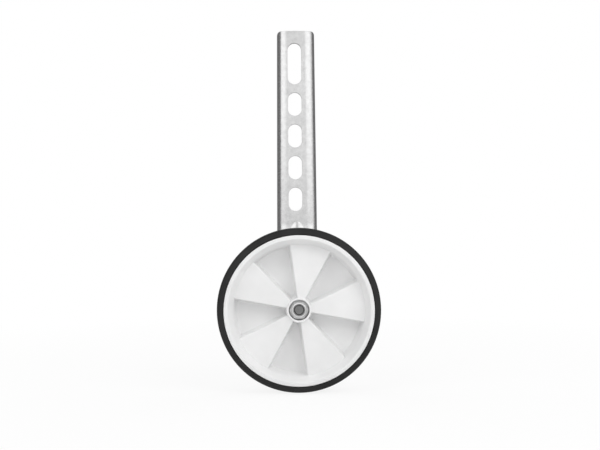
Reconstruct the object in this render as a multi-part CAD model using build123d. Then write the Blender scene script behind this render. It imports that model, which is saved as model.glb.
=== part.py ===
from build123d import *
import os
from math import cos, isclose, radians, sin, tan

# Bicycle training wheel unit: slotted channel arm with one free-running wheel.
# Millimetres, +Z up, outboard (the wheel side) is -Y, the bicycle is on the +Y side.
# The origin lies on the bicycle side of the arm web, in the middle of the four short slots.

# Arm sheet and section
SHEET = 2.0
ARM_LOW_WIDTH = 32.8
ARM_TAPER = 2.2
ARM_DEPTH = 10.0
ARM_EDGE_R = 8.0
ARM_CORNER_R = 2.5

# Slots
SLOT_WIDTH = 11.1
SLOT_LENGTH = 19.1
SLOT_PITCH = 25.9
SLOT_COUNT = 4
LONG_SLOT_LENGTH = 33.7
LONG_SLOT_LAND = 6.7
TOP_LAND = 10.0
SLOT_ROW_X = -1.2

# Bends and dart
JOGGLE = 14.0
KICK_DEG = 35.0
BEND_DROP = 66.0
UPPER_BEND_R = 25.0
LOWER_BEND_EDGE_R = 4.0
DART_R = 10.0
DART_DEPTH = 6.0
DART_REACH = 9.5

# Wheel and tyre
WHEEL_DIA = 125.0
AXLE_DROP = 125.0
TYRE_OVER_LIP = 5.7
TYRE_WIDTH = 26.6
TYRE_SIDE_LEAN = 1.3
TYRE_SHOULDER_DROP = 0.8
TYRE_CROWN_WIDTH = 10.0
TYRE_EDGE_ROUND = 0.8
TYRE_SHOULDER_ROUND = 2.5
TYRE_CROWN_ROUND = 30.0
TYRE_GAP = 0.05

# Rim
RIM_WIDTH = 28.0
LIP_FACE = 3.1
LIP_THICKNESS = 2.5
LIP_HEIGHT = 2.3
LIP_ROUND = 0.7
GROOVE_DEPTH = 2.2
GROOVE_WIDTH = 10.0
RIM_WALL = 2.2

# Pinwheel web: front and back wedges in turn
WEDGE_COUNT = 5
WEDGE_FIRST_DEG = -7.3
WEB_WIDTH = 13.0
WEB_FLOOR = 2.0
WEB_WALL = 2.0
WEB_DRAFT_DEG = 7.0
RIM_DRAFT_DEG = 9.0
FLOOR_ROUND = 0.8
WEDGE_EDGE_BREAK = 0.5

# Hub
HUB_REACH_BACK = 16.6
HUB_WALL = 1.5
HUB_BACK_DRAFT = 0.6
HUB_RIM_PROUD = 1.8
HUB_RIM_ROUND = 0.4
NUT_POCKET_GAP = 0.35

# M8 fasteners
THREAD_R = 4.0
THREAD_GAP = 0.05
BOLT_LENGTH = 35.0
BOLT_HOLE_GAP = 0.25
BOLT_END_CHAMFER = 0.8
BOLT_END_RECESS = 1.0
HEX_FLATS = 13.0
HEX_FACE_DIA = 12.5
HEX_CHAMFER_DEG = 30.0
HEAD_HEIGHT = 5.3
NUT_HEIGHT = 6.5
WASHER_DIA = 15.0
WASHER_GAP = 0.2
WASHER_THICKNESS = 1.6
SPRING_WASHER_DIA = 14.8
SPRING_WASHER_THICKNESS = 2.0
SPRING_WASHER_SLIT = 1.2
SPRING_WASHER_SLIT_DEG = 20.0
LOCK_NUT_HEIGHT = 6.5
LOCK_NUT_HEX = 5.4
COLLAR_WALL = 1.0
COLLAR_ROUND = 1.2
COLLAR_HOOK = 0.3
COLLAR_LIP = 0.6
INSERT_WALL = 1.0
INSERT_HEIGHT = 1.9
INSERT_GAP = 0.05

# Wheel bearing
SLEEVE_WALL = 1.85
SLEEVE_GAP = 0.15
RUNNING_GAP = 0.05
END_FLOAT = 0.3

# Width and radii that follow from the sizes above
ARM_TOP_WIDTH = ARM_LOW_WIDTH - ARM_TAPER
WHEEL_R = WHEEL_DIA / 2
LIP_OUTER_R = WHEEL_R - TYRE_OVER_LIP
LIP_INNER_R = LIP_OUTER_R - LIP_FACE
SEAT_EDGE_R = LIP_OUTER_R - LIP_HEIGHT
GROOVE_R = SEAT_EDGE_R - GROOVE_DEPTH
DISH_R = GROOVE_R - RIM_WALL
NUT_POCKET_R = WASHER_DIA / 2 + NUT_POCKET_GAP
HUB_R = NUT_POCKET_R + HUB_WALL
SLEEVE_BORE_R = THREAD_R + SLEEVE_GAP
SLEEVE_R = SLEEVE_BORE_R + SLEEVE_WALL
WASHER_BORE_R = THREAD_R + WASHER_GAP
INSERT_SEAT_R = THREAD_R + INSERT_WALL

# Places along Y, from the arm outward
LOW_WEB_BACK = -JOGGLE
LOW_WEB_FRONT = LOW_WEB_BACK - SHEET
CLAMP_NUT_BACK = LOW_WEB_FRONT - SPRING_WASHER_THICKNESS
INNER_WASHER_BACK = CLAMP_NUT_BACK - NUT_HEIGHT
SLEEVE_BACK = INNER_WASHER_BACK - WASHER_THICKNESS
HUB_BACK = SLEEVE_BACK - END_FLOAT
WHEEL_MID = HUB_BACK - HUB_REACH_BACK
LOCK_NUT_FRONT = LOW_WEB_BACK - BOLT_LENGTH - BOLT_END_RECESS
LOCK_NUT_BACK = LOCK_NUT_FRONT + LOCK_NUT_HEIGHT
SLEEVE_FRONT = LOCK_NUT_BACK + WASHER_THICKNESS
POCKET_FLOOR = SLEEVE_FRONT + END_FLOAT
INSERT_BACK = LOCK_NUT_FRONT + COLLAR_LIP + INSERT_HEIGHT

# Heights
AXLE_Z = -AXLE_DROP
UPPER_BEND_Z = -BEND_DROP
LOWER_BEND_Z = UPPER_BEND_Z - JOGGLE / tan(radians(KICK_DEG))
SHORT_SLOTS_Z = [((SLOT_COUNT - 1) / 2 - i) * SLOT_PITCH for i in range(SLOT_COUNT)]
LONG_SLOT_Z = SHORT_SLOTS_Z[0] + SLOT_LENGTH / 2 + LONG_SLOT_LAND + LONG_SLOT_LENGTH / 2
ARM_TOP = LONG_SLOT_Z + LONG_SLOT_LENGTH / 2 + TOP_LAND
STOCK_TOP = ARM_TOP + ARM_TOP_WIDTH
ARM_REACH = JOGGLE + 2 * ARM_DEPTH

# Web wedges
WEDGE_SPAN_DEG = 180 / WEDGE_COUNT
RECESS_DEPTH = WEB_WIDTH - WEB_FLOOR
WALL_INSET = (WEB_WALL - WEB_WIDTH * tan(radians(WEB_DRAFT_DEG))) / 2


def on_axle(y, shape):
    """Move a shape modelled round the Y axis to the axle, at depth y."""
    return Pos(0, y, AXLE_Z) * shape


def turned(points):
    """Solid turned round the Y axis from (radius, y) points."""
    return revolve(make_face(Polyline(*points, close=True)), Axis.Y)


def rod(radius, length):
    """Cylinder on the Y axis, from y = 0 outward to y = -length."""
    return extrude(Plane.XZ * Circle(radius), length)


def ring(outer_r, inner_r, length):
    """Tube round the Y axis, from y = 0 outward to y = -length."""
    return rod(outer_r, length) - rod(inner_r, length)


def hexagon(height, both_ends):
    """Hexagon prism from y = 0 to y = -height, corners turned off at the back or at both ends."""
    prism = extrude(Plane.XZ * RegularPolygon(HEX_FLATS / 2, 6, major_radius=False), height)
    face_r = HEX_FACE_DIA / 2
    outer_r = face_r + height / 2
    drop = height / 2 * tan(radians(HEX_CHAMFER_DEG))
    points = [(0, 0), (face_r, 0), (outer_r, -drop)]
    if both_ends:
        points += [(outer_r, drop - height), (face_r, -height), (0, -height)]
    else:
        points += [(outer_r, -height), (0, -height)]
    return prism & turned(points)


def side_corners(depth):
    """Corners of the arm's side line at a depth behind the web's outer face, top to bottom."""
    upper_y = depth - SHEET
    lower_y = upper_y - JOGGLE
    drop = depth * tan(radians(KICK_DEG / 2))
    return [
        (upper_y, STOCK_TOP),
        (upper_y, UPPER_BEND_Z - drop),
        (lower_y, LOWER_BEND_Z - drop),
        (lower_y, AXLE_Z - ARM_LOW_WIDTH),
    ]


def side_body(front_depth, back_depth):
    """Bent slab between two depths, wider than the arm."""
    front = side_corners(front_depth)
    back = side_corners(back_depth)
    face = make_face(Polyline(*front, *reversed(back), close=True))
    for corners, depth in ((front, front_depth), (back, back_depth)):
        for corner, radius in (
            (corners[1], UPPER_BEND_R + depth),
            (corners[2], LOWER_BEND_EDGE_R + ARM_DEPTH - depth),
        ):
            face = fillet(face.vertices().sort_by_distance(Vector(*corner))[0], radius)
    return extrude(Plane.YZ * face, ARM_LOW_WIDTH, both=True)


def outline_body(inset):
    """Front outline of the arm with its rounded foot, narrowed by an inset, deep along Y."""
    slope = (ARM_LOW_WIDTH - ARM_TOP_WIDTH) / 2 / (ARM_TOP - UPPER_BEND_Z)
    top_x = ARM_TOP_WIDTH / 2 - inset - slope * (STOCK_TOP - ARM_TOP)
    low_x = ARM_LOW_WIDTH / 2 - inset
    edge = Polyline(
        (-low_x, AXLE_Z),
        (-low_x, UPPER_BEND_Z),
        (-top_x, STOCK_TOP),
        (top_x, STOCK_TOP),
        (low_x, UPPER_BEND_Z),
        (low_x, AXLE_Z),
    )
    foot = ThreePointArc((low_x, AXLE_Z), (0, AXLE_Z - low_x), (-low_x, AXLE_Z))
    return extrude(Plane.XZ * make_face(edge + foot), ARM_REACH, both=True)


def channel_body(front_depth, back_depth, inset, edge_r):
    """Solid body of the arm between two depths, its front edges rounded down both sides and the foot."""
    body = (side_body(front_depth, back_depth) & outline_body(inset)).solids()[0]
    front_faces = [face for face in body.faces() if face.normal_at(face.center()).Y < -0.5]
    rim = ShapeList()
    for face in front_faces:
        for edge in face.edges():
            owners = [other for other in front_faces if edge in other.edges()]
            if len(owners) == 1 and edge.center().Z < ARM_TOP:
                rim.append(edge)
    return fillet(rim, edge_r)


def dart_body(radius):
    """Front segment of a rod laid across the hollow of the upper bend, in the middle of the arm."""
    lean = radians(KICK_DEG / 2)
    along = Vector(0, -sin(lean), -cos(lean))
    inward = Vector(0, cos(lean), -sin(lean))
    crest = Vector(0, -SHEET - DART_REACH * sin(lean), UPPER_BEND_Z)
    half = DART_REACH + DART_R
    start = Plane(crest + inward * DART_R - along * half, x_dir=(1, 0, 0), z_dir=along)
    front = Pos(0, DART_R - DART_DEPTH) * Rectangle(2 * DART_R, DART_DEPTH, align=(Align.CENTER, Align.MIN))
    return extrude(start * (Circle(radius) & front), 2 * half)


def top_trim():
    """Waste above the arm's top edge and outside its two rounded top corners."""
    size = 2 * ARM_TOP_WIDTH
    waste = Pos(0, -ARM_CORNER_R) * Rectangle(size, size, align=(Align.CENTER, Align.MIN))
    keep = Rectangle(ARM_TOP_WIDTH, size, align=(Align.CENTER, Align.MAX))
    keep = fillet(keep.vertices().group_by(Axis.Y)[-1], ARM_CORNER_R)
    return extrude(Plane.XZ * Pos(0, ARM_TOP) * (waste - keep), ARM_REACH, both=True)


def slot_cut(z, length):
    """Upright slot through the upper web, centred at height z."""
    slot = Pos(SLOT_ROW_X, z) * SlotOverall(length, SLOT_WIDTH, rotation=90)
    return extrude(Plane.XZ * slot, 2 * SHEET, both=True)


def make_arm():
    """Pressed channel arm: outer form less inner form, slotted, with a hole for the wheel bolt."""
    outer = channel_body(0, ARM_DEPTH, 0, ARM_EDGE_R) + dart_body(DART_R)
    open_depth = ARM_DEPTH + LOWER_BEND_EDGE_R / 2
    inner = channel_body(SHEET, open_depth, SHEET, ARM_EDGE_R - SHEET) + dart_body(DART_R - SHEET)
    arm = outer - inner - top_trim() - slot_cut(LONG_SLOT_Z, LONG_SLOT_LENGTH)
    for z in SHORT_SLOTS_Z:
        arm -= slot_cut(z, SLOT_LENGTH)
    return arm - on_axle(LOW_WEB_BACK + SHEET, rod(THREAD_R + BOLT_HOLE_GAP, 3 * SHEET))


def sector(start_deg, inset):
    """Plan of a web pocket: a sector clockwise from the top, inset from its two radial lines."""
    half = radians(WEDGE_SPAN_DEG / 2)
    middle = radians(90 - start_deg) - half
    apex = Vector(cos(middle), sin(middle)) * (inset / sin(half))
    left = apex + Vector(cos(middle + half), sin(middle + half)) * WHEEL_DIA
    right = apex + Vector(cos(middle - half), sin(middle - half)) * WHEEL_DIA
    return make_face(Polyline(apex, left, right, close=True)) & (Circle(DISH_R) - Circle(HUB_R))


def pocket(start_deg, side):
    """Drafted web pocket, opened at the front (side -1) or the back (side 1)."""
    mouth_y = side * WEB_WIDTH / 2
    mouth = Plane((0, mouth_y, 0), x_dir=(1, 0, 0), z_dir=(0, -1, 0))
    cone = turned([(0, mouth_y), (DISH_R, mouth_y), (0, mouth_y - side * DISH_R / tan(radians(RIM_DRAFT_DEG)))])
    body = cone & extrude(mouth * sector(start_deg, WALL_INSET), side * RECESS_DEPTH, taper=WEB_DRAFT_DEG)
    floor = body.faces().sort_by(Axis.Y, reverse=side < 0)[0]
    flare = sector(start_deg, WALL_INSET - WEDGE_EDGE_BREAK)
    return fillet(floor.edges(), FLOOR_ROUND) + extrude(mouth * flare, side * WEDGE_EDGE_BREAK, taper=45)


def make_wheel():
    """One-piece wheel moulding: rim, pinwheel web and hub tube with a pocket for the nut."""
    web = WEB_WIDTH / 2
    rim = RIM_WIDTH / 2
    lip_in = rim - LIP_THICKNESS
    groove = GROOVE_WIDTH / 2
    hub_front = -web - HUB_RIM_PROUD
    floor = POCKET_FLOOR - WHEEL_MID
    bore = SLEEVE_R + RUNNING_GAP
    section = make_face(Polyline(
        (NUT_POCKET_R, hub_front),
        (HUB_R, hub_front),
        (HUB_R, -web),
        (DISH_R, -web),
        (LIP_INNER_R, -rim),
        (LIP_OUTER_R, -rim),
        (LIP_OUTER_R, -lip_in),
        (SEAT_EDGE_R, -lip_in),
        (GROOVE_R, -groove),
        (GROOVE_R, groove),
        (SEAT_EDGE_R, lip_in),
        (LIP_OUTER_R, lip_in),
        (LIP_OUTER_R, rim),
        (LIP_INNER_R, rim),
        (DISH_R, web),
        (HUB_R, web),
        (HUB_R - HUB_BACK_DRAFT, HUB_REACH_BACK),
        (bore, HUB_REACH_BACK),
        (bore, floor),
        (NUT_POCKET_R, floor),
        close=True,
    ))
    for y, radius in ((-rim, LIP_ROUND), (rim, LIP_ROUND), (hub_front, HUB_RIM_ROUND)):
        section = fillet([v for v in section.vertices() if isclose(v.Y, y)], radius)
    wheel = revolve(section, Axis.Y)
    for i in range(WEDGE_COUNT):
        start = WEDGE_FIRST_DEG + 2 * i * WEDGE_SPAN_DEG
        wheel -= pocket(start + WEDGE_SPAN_DEG, -1) + pocket(start, 1)
    return on_axle(WHEEL_MID, wheel)


def make_tyre():
    """Rubber tyre seated in the rim's groove, its sides over the lips."""
    half = [
        (GROOVE_R + TYRE_GAP, GROOVE_WIDTH / 2),
        (SEAT_EDGE_R + TYRE_GAP, RIM_WIDTH / 2 - LIP_THICKNESS - TYRE_GAP),
        (LIP_OUTER_R + TYRE_GAP, RIM_WIDTH / 2 - LIP_THICKNESS - TYRE_GAP),
        (LIP_OUTER_R + TYRE_GAP, TYRE_WIDTH / 2),
        (WHEEL_R - TYRE_SHOULDER_DROP, TYRE_WIDTH / 2 - TYRE_SIDE_LEAN),
        (WHEEL_R, TYRE_CROWN_WIDTH / 2),
    ]
    section = make_face(Polyline(*half, *[(r, -y) for r, y in reversed(half)], close=True))
    rounds = (TYRE_EDGE_ROUND, TYRE_SHOULDER_ROUND, TYRE_CROWN_ROUND)
    for (r, y), radius in zip(half[3:], rounds):
        for corner in (Vector(r, y), Vector(r, -y)):
            section = fillet(section.vertices().sort_by_distance(corner)[0], radius)
    return on_axle(WHEEL_MID, revolve(section, Axis.Y))


def make_bolt():
    """Hexagon bolt with its head inside the channel."""
    radius = THREAD_R - THREAD_GAP
    shank = rod(radius, BOLT_LENGTH)
    shank = chamfer(shank.edges().sort_by(Axis.Y)[0], BOLT_END_CHAMFER)
    head = Pos(0, HEAD_HEIGHT, 0) * hexagon(HEAD_HEIGHT, False)
    return on_axle(LOW_WEB_BACK, head + shank)


def make_spring_washer():
    """Split spring washer, clamped flat, with a slanted slit at the top."""
    width = SPRING_WASHER_DIA / 2
    slit = Box(SPRING_WASHER_SLIT, 2 * width, 2 * width)
    slit = Pos(0, -SPRING_WASHER_THICKNESS / 2, width) * Rot(0, 0, SPRING_WASHER_SLIT_DEG) * slit
    return on_axle(LOW_WEB_FRONT, ring(width, WASHER_BORE_R, SPRING_WASHER_THICKNESS) - slit)


def make_clamp_nut():
    """Hexagon nut that locks the bolt to the arm."""
    return on_axle(CLAMP_NUT_BACK, hexagon(NUT_HEIGHT, True) - rod(THREAD_R, NUT_HEIGHT))


def make_washer(back):
    """Flat washer whose back face lies at depth back."""
    return on_axle(back, ring(WASHER_DIA / 2, WASHER_BORE_R, WASHER_THICKNESS))


def make_sleeve():
    """Spacer tube clamped between the two flat washers; the wheel runs on it."""
    return on_axle(SLEEVE_BACK, ring(SLEEVE_R, SLEEVE_BORE_R, SLEEVE_BACK - SLEEVE_FRONT))


def make_lock_nut():
    """Self-locking nut: hexagon with a round collar crimped over a seat for the insert."""
    mouth_r = INSERT_SEAT_R - COLLAR_HOOK
    collar = rod(INSERT_SEAT_R + COLLAR_WALL, LOCK_NUT_HEIGHT)
    collar = fillet(collar.edges().sort_by(Axis.Y)[0], COLLAR_ROUND)
    nut = hexagon(LOCK_NUT_HEX, True) + collar - rod(THREAD_R, LOCK_NUT_HEIGHT)
    seat = Pos(0, COLLAR_LIP + INSERT_HEIGHT - LOCK_NUT_HEIGHT, 0)
    nut -= seat * rod(INSERT_SEAT_R, INSERT_HEIGHT)
    return on_axle(LOCK_NUT_BACK, nut - seat * rod(mouth_r, LOCK_NUT_HEIGHT))


def make_insert():
    """Nylon ring held in the self-locking nut's collar."""
    return on_axle(INSERT_BACK, ring(INSERT_SEAT_R - INSERT_GAP, THREAD_R, INSERT_HEIGHT))


PARTS = {
    "arm_bracket": make_arm(),
    "axle_bolt": make_bolt(),
    "lock_washer": make_spring_washer(),
    "clamp_nut": make_clamp_nut(),
    "inner_washer": make_washer(INNER_WASHER_BACK),
    "axle_sleeve": make_sleeve(),
    "wheel_hub": make_wheel(),
    "tyre": make_tyre(),
    "outer_washer": make_washer(SLEEVE_FRONT),
    "lock_nut": make_lock_nut(),
    "nylon_insert": make_insert(),
}

os.makedirs("parts", exist_ok=True)
for name, shape in PARTS.items():
    export_step(shape, f"parts/{name}.step")
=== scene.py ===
"""Bicycle training wheel: finishes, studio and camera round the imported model."""

import logging
from dataclasses import dataclass
from enum import Enum
from math import radians, tau
from typing import Any

import bmesh
import bpy
from mathutils import Matrix, Vector


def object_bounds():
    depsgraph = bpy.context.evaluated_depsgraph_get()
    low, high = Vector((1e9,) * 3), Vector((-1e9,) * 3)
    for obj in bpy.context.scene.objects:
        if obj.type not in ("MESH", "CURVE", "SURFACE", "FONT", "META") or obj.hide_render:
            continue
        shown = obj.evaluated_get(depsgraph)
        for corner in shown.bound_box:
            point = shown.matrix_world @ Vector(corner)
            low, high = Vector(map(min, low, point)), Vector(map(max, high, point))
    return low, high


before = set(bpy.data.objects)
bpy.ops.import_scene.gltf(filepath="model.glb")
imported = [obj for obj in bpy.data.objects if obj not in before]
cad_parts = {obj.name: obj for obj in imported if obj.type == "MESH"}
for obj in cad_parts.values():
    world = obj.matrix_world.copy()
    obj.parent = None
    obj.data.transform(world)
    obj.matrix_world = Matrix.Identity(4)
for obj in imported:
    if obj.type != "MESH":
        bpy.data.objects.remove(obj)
CAD_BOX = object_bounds()

LOG = logging.getLogger("training_wheel")
MM = 0.001

Socket = bpy.types.NodeSocket
Tree = bpy.types.NodeTree
Span = tuple[float, float]
Point = tuple[float, float, float]
Box = tuple[Span, Span, Span]

# Places on the part, in millimetres
AXLE_Z = -125.0
WHEEL_MID = -43.0
BOLT_R = 4.0
WHOLE = (-500.0, 500.0)

# Values of a pattern between which one colour passes into the other
PATTERN_ENDS = (0.3, 0.7)
BUMP_STRENGTH = 0.5
EDGE_SAMPLES = 4
# Height of a mould's parting line against its grain
SEAM_RISE = 4.0
# Millimetres between the rings on a turned end, coarser than a lathe leaves them so that they show
RING_PITCH = 0.28
# Scale of a wave texture whose rings are one unit apart
UNIT_RINGS = tau / 20


class Ray(Enum):
    """Rays that are to see the white set."""

    CAMERA = "Is Camera Ray"
    GLOSSY = "Is Glossy Ray"
    TRANSMISSION = "Is Transmission Ray"


class CutMarks(Enum):
    """Marks that a tool leaves on a cut place of the steel."""

    SHEARED = "streaks along the sheet"
    TURNED = "rings round the axle"


def linear(hex_colour: str) -> tuple[float, float, float, float]:
    """Turn an sRGB hex value into a linear colour.

    Args:
        hex_colour: six hex digits with a leading hash.

    Returns:
        Linear red, green, blue and full alpha.
    """
    channels = [int(hex_colour[i:i + 2], 16) / 255 for i in (1, 3, 5)]
    red, green, blue = (c / 12.92 if c <= 0.04045 else ((c + 0.055) / 1.055) ** 2.4 for c in channels)
    return red, green, blue, 1.0


def per_mm(size: float) -> float:
    """Texture scale that draws features of a size in millimetres on metre coordinates."""
    return 1 / (size * MM)


def add_node(tree: Tree, kind: str, settings: dict[str | int, Any] | None = None,
             links: dict[str | int, Socket] | None = None) -> bpy.types.Node:
    """Add one shader node with its settings and links.

    Args:
        tree: node tree that takes the node.
        kind: Blender's type name of the node, without its ShaderNode prefix.
        settings: values by attribute name, or by the input's name or number.
        links: output sockets by the name or number of the input that they feed.

    Returns:
        The new node.
    """
    node = tree.nodes.new(f"ShaderNode{kind}")
    for name, value in (settings or {}).items():
        if isinstance(name, str) and hasattr(node, name):
            setattr(node, name, value)
        else:
            node.inputs[name].default_value = value
    for name, source in (links or {}).items():
        tree.links.new(source, node.inputs[name])
    return node


def new_material(name: str) -> bpy.types.Material:
    """Make an empty node material.

    Args:
        name: name of the material.

    Returns:
        The material.
    """
    material = bpy.data.materials.new(name)
    material.use_nodes = True
    material.node_tree.nodes.clear()
    return material


def shades(tree: Tree, pattern: Socket, low: str, high: str) -> Socket:
    """Colour a pattern between two sRGB hex values.

    Args:
        tree: node tree that takes the nodes.
        pattern: value of the pattern.
        low: colour of the pattern's low places.
        high: colour of its high places.

    Returns:
        Socket that holds the colour.
    """
    share = add_node(tree, "MapRange", {"From Min": PATTERN_ENDS[0], "From Max": PATTERN_ENDS[1]},
                     {"Value": pattern})
    mix = add_node(tree, "Mix", {"data_type": "RGBA", 6: linear(low), 7: linear(high)},
                   {0: share.outputs["Result"]})
    return mix.outputs[2]


def inside(tree: Tree, place: Socket, box: Box) -> Socket:
    """Mark the points of a surface that lie in a box.

    Args:
        tree: node tree that takes the nodes.
        place: object coordinates.
        box: lowest and highest X, Y and Z in millimetres.

    Returns:
        Socket that is 1 in the box and 0 outside it.
    """
    parts = add_node(tree, "SeparateXYZ", links={"Vector": place}).outputs
    marks = []
    for part, (low, high) in zip(parts, box):
        span = {"operation": "COMPARE", 1: (low + high) / 2 * MM, 2: (high - low) / 2 * MM}
        marks.append(add_node(tree, "Math", span, {0: part}).outputs[0])
    mark = marks[0]
    for other in marks[1:]:
        mark = add_node(tree, "Math", {"operation": "MULTIPLY"}, {0: mark, 1: other}).outputs[0]
    return mark


@dataclass(frozen=True)
class Finish:
    """A surface finish: name, range of roughness, and grain, relief and edge rounding in millimetres."""

    name: str
    rough: Span
    grain: float
    relief: float
    edge: float

    def material(self) -> bpy.types.Material:
        """Find the finish's material, which is made at its first use.

        Returns:
            The material.
        """
        found = bpy.data.materials.get(self.name)
        if found is None:
            found = new_material(self.name)
            shader = self.shade(found.node_tree)
            add_node(found.node_tree, "OutputMaterial", links={"Surface": shader.outputs["BSDF"]})
        return found

    def shade(self, tree: Tree) -> bpy.types.Node:
        """Build the finish's shader in a node tree and return it."""
        raise NotImplementedError

    def surface(self, tree: Tree, height: Socket) -> Socket:
        """Round the edges and raise the finish's relief on them.

        Args:
            tree: node tree that takes the nodes.
            height: height of the relief.

        Returns:
            Socket that holds the normal.
        """
        edge = add_node(tree, "Bevel", {"samples": EDGE_SAMPLES, "Radius": self.edge * MM})
        bump = add_node(tree, "Bump", {"Strength": BUMP_STRENGTH, "Distance": self.relief * MM},
                        {"Height": height, "Normal": edge.outputs["Normal"]})
        return bump.outputs["Normal"]


@dataclass(frozen=True)
class ZincPlate(Finish):
    """Zinc-plated steel: satin grey with fine grain, a thin mottle and bare cut places, on the arm painted
    shade.
    """

    dark: str
    pale: str
    mottle: float
    draw: Point
    cut_and_shade_box: Box
    cut_marks: CutMarks
    cut_and_shade_dark: str
    cut_and_shade_pale: str
    cut_rough: float

    def shade(self, tree: Tree) -> bpy.types.Node:
        """Mottle colours the plate, grain sets its gloss, draw lines give it relief, and cuts are dull.

        Args:
            tree: node tree that takes the nodes.

        Returns:
            The shader node.
        """
        place = add_node(tree, "TexCoord").outputs["Object"]
        mottle = add_node(tree, "TexNoise", {"Scale": per_mm(self.mottle), "Detail": 4.0}, {"Vector": place})
        grain = add_node(tree, "TexNoise", {"Scale": per_mm(self.grain), "Detail": 3.0}, {"Vector": place})
        stretch = add_node(tree, "Mapping", {"Scale": [per_mm(size) for size in self.draw]},
                           {"Vector": place})
        lines = add_node(tree, "TexNoise", {"Scale": 1.0, "Detail": 2.0},
                         {"Vector": stretch.outputs["Vector"]}).outputs["Fac"]
        gloss = add_node(tree, "MapRange", {"To Min": self.rough[0], "To Max": self.rough[1]},
                         {"Value": grain.outputs["Fac"]})
        marks = self.rings(tree, place) if self.cut_marks is CutMarks.TURNED else lines
        # Cut places take their own colour: bare steel, and on the arm near-black painted shade.
        cut = inside(tree, place, self.cut_and_shade_box)
        colour = add_node(tree, "Mix", {"data_type": "RGBA"}, {
            0: cut,
            6: shades(tree, mottle.outputs["Fac"], self.dark, self.pale),
            7: shades(tree, marks, self.cut_and_shade_dark, self.cut_and_shade_pale),
        })
        rough = add_node(tree, "Math", {"operation": "MULTIPLY_ADD", 1: self.cut_rough},
                         {0: cut, 2: gloss.outputs["Result"]})
        return add_node(tree, "BsdfPrincipled", {"Metallic": 1.0}, {
            "Base Color": colour.outputs[2],
            "Roughness": rough.outputs[0],
            "Normal": self.surface(tree, lines),
        })

    def rings(self, tree: Tree, place: Socket) -> Socket:
        """Draw the rings of a turned end round the axle.

        Args:
            tree: node tree that takes the nodes.
            place: object coordinates.

        Returns:
            Socket that holds the pattern's value.
        """
        centred = add_node(tree, "Mapping", {"Location": (0.0, 0.0, -AXLE_Z * MM)}, {"Vector": place})
        wave = add_node(tree, "TexWave", {
            "wave_type": "RINGS",
            "rings_direction": "Y",
            "Scale": UNIT_RINGS * per_mm(RING_PITCH),
            "Distortion": 2.0,
            "Detail": 3.0,
        }, {"Vector": centred.outputs["Vector"]})
        return wave.outputs["Fac"]


@dataclass(frozen=True)
class Moulding(Finish):
    """Moulded plastic or rubber: a plain colour with a soft gloss, mould grain and maybe a parting line."""

    low: str
    high: str
    ior: float
    gleam: float
    flow: float
    seam: Span | None = None

    def shade(self, tree: Tree) -> bpy.types.Node:
        """Broad flow marks shift the colour, and the mould's grain and parting line break the gloss.

        Args:
            tree: node tree that takes the nodes.

        Returns:
            The shader node.
        """
        place = add_node(tree, "TexCoord").outputs["Object"]
        flow = add_node(tree, "TexNoise", {"Scale": per_mm(self.flow), "Detail": 3.0}, {"Vector": place})
        grain = add_node(tree, "TexNoise", {"Scale": per_mm(self.grain), "Detail": 2.0},
                         {"Vector": place}).outputs["Fac"]
        gloss = add_node(tree, "MapRange", {"To Min": self.rough[0], "To Max": self.rough[1]},
                         {"Value": grain})
        height = grain
        if self.seam:
            line = inside(tree, place, (WHOLE, self.seam, WHOLE))
            height = add_node(tree, "Math", {"operation": "MULTIPLY_ADD", 1: SEAM_RISE},
                              {0: line, 2: grain}).outputs[0]
        return add_node(tree, "BsdfPrincipled", {"IOR": self.ior, "Specular IOR Level": self.gleam}, {
            "Base Color": shades(tree, flow.outputs["Fac"], self.low, self.high),
            "Roughness": gloss.outputs["Result"],
            "Normal": self.surface(tree, height),
        })


# The grain of every finish below is too fine to show at its real size, so it is drawn coarser.

# Pressed steel sheet, barrel plated: a pale satin sheen with soft streaks along the arm. The walls of the
# punched slots and the cropped top edge are bare steel drawn near black, painted shade for their dark edge
# lines.
ARM_ZINC = ZincPlate(
    "zinc_plated_sheet", rough=(0.22, 0.34), grain=0.5, relief=0.012, edge=0.35,
    dark="#C9C9C9", pale="#D9D9D9", mottle=3.0, draw=(0.45, 0.45, 30.0),
    cut_and_shade_box=((-7.1, 7.1), (-1.95, -0.05), (-55.0, 120.0)), cut_marks=CutMarks.SHEARED,
    # Near-black cut colours: painted shade on the slot walls and the top edge.
    cut_and_shade_dark="#2F2F2F", cut_and_shade_pale="#4B4B4B", cut_rough=0.25,
)
# Cold-headed fasteners, zinc plated: paler than the sheet and softer in gloss. The bolt's turned end is bare,
# with fine rings, so it is the dark spot in the middle of the nut.
FASTENER_ZINC = ZincPlate(
    "zinc_plated_fastener", rough=(0.34, 0.46), grain=0.6, relief=0.006, edge=0.3,
    dark="#D8D8D8", pale="#EBEBEB", mottle=1.2, draw=(0.4, 0.4, 0.4),
    cut_and_shade_box=((-BOLT_R, BOLT_R), (-49.2, -48.1), (AXLE_Z - BOLT_R, AXLE_Z + BOLT_R)),
    cut_marks=CutMarks.TURNED, cut_and_shade_dark="#838383", cut_and_shade_pale="#9E9E9E", cut_rough=0.35,
)
# Polypropylene pigmented white: even, with a low satin gloss off a lightly worn mould and a fine line where
# the two halves of the mould met.
WHITE_PLASTIC = Moulding(
    "moulded_white_polypropylene", rough=(0.38, 0.5), grain=0.6, relief=0.01, edge=0.25,
    low="#E9E9E9", high="#EFEFEF", ior=1.49, gleam=0.5, flow=22.0, seam=(WHEEL_MID - 0.1, WHEEL_MID + 0.1),
)
# Vulcanised rubber: near black and dull, with the faint tooth of a blasted mould and a parting line round
# the crown.
BLACK_RUBBER = Moulding(
    "moulded_black_rubber", rough=(0.5, 0.68), grain=0.8, relief=0.03, edge=0.25,
    low="#1A1A1A", high="#262626", ior=1.5, gleam=0.25, flow=22.0, seam=(WHEEL_MID - 0.3, WHEEL_MID + 0.3),
)
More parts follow.
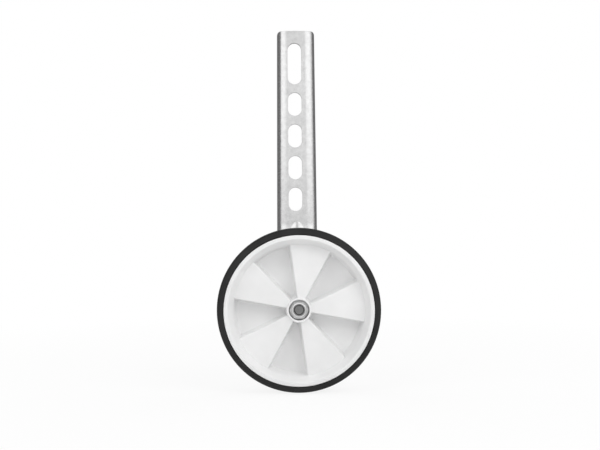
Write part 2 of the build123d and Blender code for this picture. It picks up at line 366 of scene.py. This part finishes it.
# Polyamide ring of the self-locking nut: smoky grey and dull, lightly mottled.
LOCK_NYLON = Moulding(
    "turned_grey_nylon", rough=(0.4, 0.55), grain=0.3, relief=0.01, edge=0.1,
    low="#8C8C8C", high="#9C9C9C", ior=1.53, gleam=0.5, flow=2.0,
)


def give_finish(node: str, finish: Finish) -> None:
    """Give a CAD node a finish in place of its plain packed material.

    Args:
        node: name of the CAD node.
        finish: finish to give it.
    """
    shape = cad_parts[node]
    shape.data.materials.clear()
    shape.data.materials.append(finish.material())
    LOG.info("%s: %s", node, finish.name)


@dataclass
class SlottedArm:
    """Pressed channel arm, one sheet of steel."""

    sheet: str = "arm_bracket"
    plate: Finish = ARM_ZINC

    def dress(self) -> None:
        """Plate the sheet."""
        give_finish(self.sheet, self.plate)


@dataclass
class PinwheelWheel:
    """White wheel moulding with its rubber tyre."""

    moulding: str = "wheel_hub"
    tyre: str = "tyre"
    plastic: Finish = WHITE_PLASTIC
    rubber: Finish = BLACK_RUBBER

    def dress(self) -> None:
        """Give the moulding and the tyre their materials."""
        give_finish(self.moulding, self.plastic)
        give_finish(self.tyre, self.rubber)


@dataclass
class AxleHardware:
    """Bolt, nuts, washers and sleeve of the wheel's axle."""

    fasteners: tuple[str, ...] = ("axle_bolt", "lock_washer", "clamp_nut", "inner_washer", "axle_sleeve",
                                  "outer_washer", "lock_nut")
    insert: str = "nylon_insert"
    plate: Finish = FASTENER_ZINC
    nylon: Finish = LOCK_NYLON

    def dress(self) -> None:
        """Plate the fasteners and colour the nut's insert."""
        for node in self.fasteners:
            give_finish(node, self.plate)
        give_finish(self.insert, self.nylon)


@dataclass(frozen=True)
class Card:
    """Upright or level card that only mirrors see: its brightness, middle, size and turns in degrees."""

    name: str
    level: float
    place: Point
    size: Span
    turn: float
    lean: float = 90.0

    def where(self) -> Matrix:
        """Place of the card as a matrix."""
        turned = Matrix.Rotation(radians(self.turn), 4, "Z") @ Matrix.Rotation(radians(self.lean), 4, "X")
        return Matrix.Translation(Vector(self.place) * MM) @ turned


@dataclass(frozen=True)
class Lamp:
    """Square soft lamp: its power in watts, place and size."""

    name: str
    power: float
    place: Point
    size: float = 700.0


@dataclass
class Studio:
    """White set: floor, soft lamps, cards that the metal mirrors, and the camera."""

    camera_at: Point = (-13.5, -694.4, -68.7)
    yaw: float = 1.304
    pitch: float = 0.73
    roll: float = 0.47
    lens: float = 50.99
    sensor: float = 36.0
    fill: float = 0.35
    floor_size: float = 9000.0
    floor_white: Span = (0.86, 1.0)
    floor_reach: Span = (150.0, 600.0)
    aim: Point = (0.0, 0.0, -80.0)
    lamps: tuple[Lamp, ...] = (
        Lamp("softbox_right", 5.55, (650.0, -693.0, 646.0)),
        Lamp("softbox_left", 3.5, (-650.0, -693.0, 646.0)),
        Lamp("softbox_front", 1.2, (0.0, -1171.0, 285.0)),
        Lamp("softbox_back_right", 2.5, (650.0, 607.0, 646.0)),
        Lamp("softbox_back_left", 2.5, (-650.0, 607.0, 646.0)),
    )
    cards: tuple[Card, ...] = (
        Card("dark_card_left", 0.2, (-300.0, 1370.0, 0.0), (2900.0, 1600.0), 90.0),
        Card("dark_card_right", 0.2, (300.0, 1450.0, 0.0), (2900.0, 1600.0), 90.0),
        Card("bright_card_left", 1.5, (-608.0, -692.0, 650.0), (1020.0, 1200.0), -45.0),
        Card("bright_card_right", 1.5, (562.0, -738.0, 600.0), (1150.0, 1200.0), 45.0),
        Card("dark_card_above", 0.3, (0.0, -700.0, 440.0), (260.0, 170.0), 0.0),
        Card("dark_ceiling", 0.3, (0.0, 900.0, 1000.0), (3000.0, 2200.0), 0.0, 0.0),
        Card("dark_floor_card", 0.55, (0.0, -520.0, -180.0), (1200.0, 700.0), 0.0, 0.0),
    )

    def build(self) -> None:
        """Set up the world, floor, lamps, cards and camera."""
        self.make_world()
        self.make_floor()
        for lamp in self.lamps:
            self.make_lamp(lamp)
        for card in self.cards:
            self.make_card(card)
        self.make_camera()
        bpy.context.scene.view_settings.view_transform = "Standard"

    def seen_white(self, tree: Tree) -> Socket:
        """Add the test for rays that should see the white set.

        Args:
            tree: node tree that takes the nodes.

        Returns:
            Socket that is 1 for camera, glossy and transmission rays.
        """
        path = add_node(tree, "LightPath").outputs
        seen = path[Ray.CAMERA.value]
        for ray in (Ray.GLOSSY, Ray.TRANSMISSION):
            seen = add_node(tree, "Math", {"operation": "MAXIMUM"}, {0: seen, 1: path[ray.value]}).outputs[0]
        return seen

    def make_world(self) -> None:
        """White to the camera and to mirrors, a plain soft fill to everything else."""
        world = bpy.data.worlds.new("white_studio")
        bpy.context.scene.world = world
        world.use_nodes = True
        tree = world.node_tree
        tree.nodes.clear()
        fill = add_node(tree, "Background", {"Color": linear("#FFFFFF"), "Strength": self.fill})
        white = add_node(tree, "Background", {"Color": linear("#FFFFFF"), "Strength": 1.0})
        mix = add_node(tree, "MixShader",
                       links={0: self.seen_white(tree), 1: fill.outputs[0], 2: white.outputs[0]})
        add_node(tree, "OutputWorld", links={"Surface": mix.outputs[0]})

    def make_floor(self) -> None:
        """Lay matt white paper under the tyre, with a soft shadow there and pure white further out."""
        material = new_material("white_paper_floor")
        tree = material.node_tree
        place = add_node(tree, "TexCoord").outputs["Object"]
        away = add_node(tree, "VectorMath", {"operation": "LENGTH"}, {0: place})
        share = add_node(tree, "MapRange", {
            "From Min": self.floor_reach[0] * MM,
            "From Max": self.floor_reach[1] * MM,
            "To Min": self.floor_white[0],
            "To Max": self.floor_white[1],
        }, {"Value": away.outputs["Value"]})
        seen = add_node(tree, "Math", {"operation": "MULTIPLY"},
                        {0: self.seen_white(tree), 1: share.outputs[0]})
        paper = add_node(tree, "BsdfDiffuse", {"Color": linear("#F6F6F6")})
        glow = add_node(tree, "Emission", {"Color": linear("#FFFFFF"), "Strength": 1.0})
        mix = add_node(tree, "MixShader",
                       links={0: seen.outputs[0], 1: paper.outputs[0], 2: glow.outputs[0]})
        add_node(tree, "OutputMaterial", links={"Surface": mix.outputs[0]})
        low = Matrix.Translation((0, 0, CAD_BOX[0][2]))
        self.sheet("floor", (self.floor_size, self.floor_size), low, material)

    def make_card(self, card: Card) -> None:
        """Stand a card where only mirrors see it.

        Args:
            card: the card to stand.
        """
        material = new_material(card.name)
        glow = add_node(material.node_tree, "Emission", {"Strength": card.level})
        add_node(material.node_tree, "OutputMaterial", links={"Surface": glow.outputs[0]})
        sheet = self.sheet(card.name, card.size, card.where(), material)
        sheet.visible_camera = False
        sheet.visible_diffuse = False
        sheet.visible_shadow = False

    def sheet(self, name: str, size: Span, where: Matrix, material: bpy.types.Material) -> bpy.types.Object:
        """Lay a flat sheet of the set.

        Args:
            name: name of the object.
            size: width and depth in millimetres.
            where: place of the sheet.
            material: material of the sheet.

        Returns:
            The sheet's object.
        """
        shape = bmesh.new()
        bmesh.ops.create_grid(shape, x_segments=1, y_segments=1, size=0.5)
        bmesh.ops.scale(shape, vec=(size[0] * MM, size[1] * MM, 1.0), verts=shape.verts)
        bmesh.ops.transform(shape, matrix=where, verts=shape.verts)
        mesh = bpy.data.meshes.new(name)
        shape.to_mesh(mesh)
        shape.free()
        mesh.materials.append(material)
        sheet = bpy.data.objects.new(name, mesh)
        bpy.context.scene.collection.objects.link(sheet)
        return sheet

    def make_lamp(self, lamp: Lamp) -> None:
        """Hang a soft lamp that faces the wheel and that mirrors don't see.

        Args:
            lamp: the lamp to hang.
        """
        light = bpy.data.lights.new(lamp.name, "AREA")
        light.shape = "SQUARE"
        light.size = lamp.size * MM
        light.energy = lamp.power
        holder = bpy.data.objects.new(lamp.name, light)
        holder.location = Vector(lamp.place) * MM
        facing = Vector(self.aim) * MM - holder.location
        holder.rotation_euler = facing.to_track_quat("-Z", "Y").to_euler()
        holder.visible_glossy = False
        bpy.context.scene.collection.objects.link(holder)

    def make_camera(self) -> None:
        """Stand the camera where the photograph was taken from."""
        lens = bpy.data.cameras.new("camera")
        lens.lens = self.lens
        lens.sensor_width = self.sensor
        camera = bpy.data.objects.new("camera", lens)
        turn = Matrix.Rotation(radians(-self.yaw), 4, "Z")
        turn = turn @ Matrix.Rotation(radians(90 + self.pitch), 4, "X")
        turn = turn @ Matrix.Rotation(radians(-self.roll), 4, "Z")
        camera.matrix_world = Matrix.Translation(Vector(self.camera_at) * MM) @ turn
        bpy.context.scene.collection.objects.link(camera)
        bpy.context.scene.camera = camera


def main() -> None:
    """Dress the sub-assemblies in order, then build the studio."""
    logging.basicConfig(level=logging.INFO, format="%(message)s")
    for assembly in (SlottedArm(), PinwheelWheel(), AxleHardware()):
        assembly.dress()
        LOG.info("dressed %s", type(assembly).__name__)
    Studio().build()
    LOG.info("built the studio")


if __name__ == "__main__":
    main()
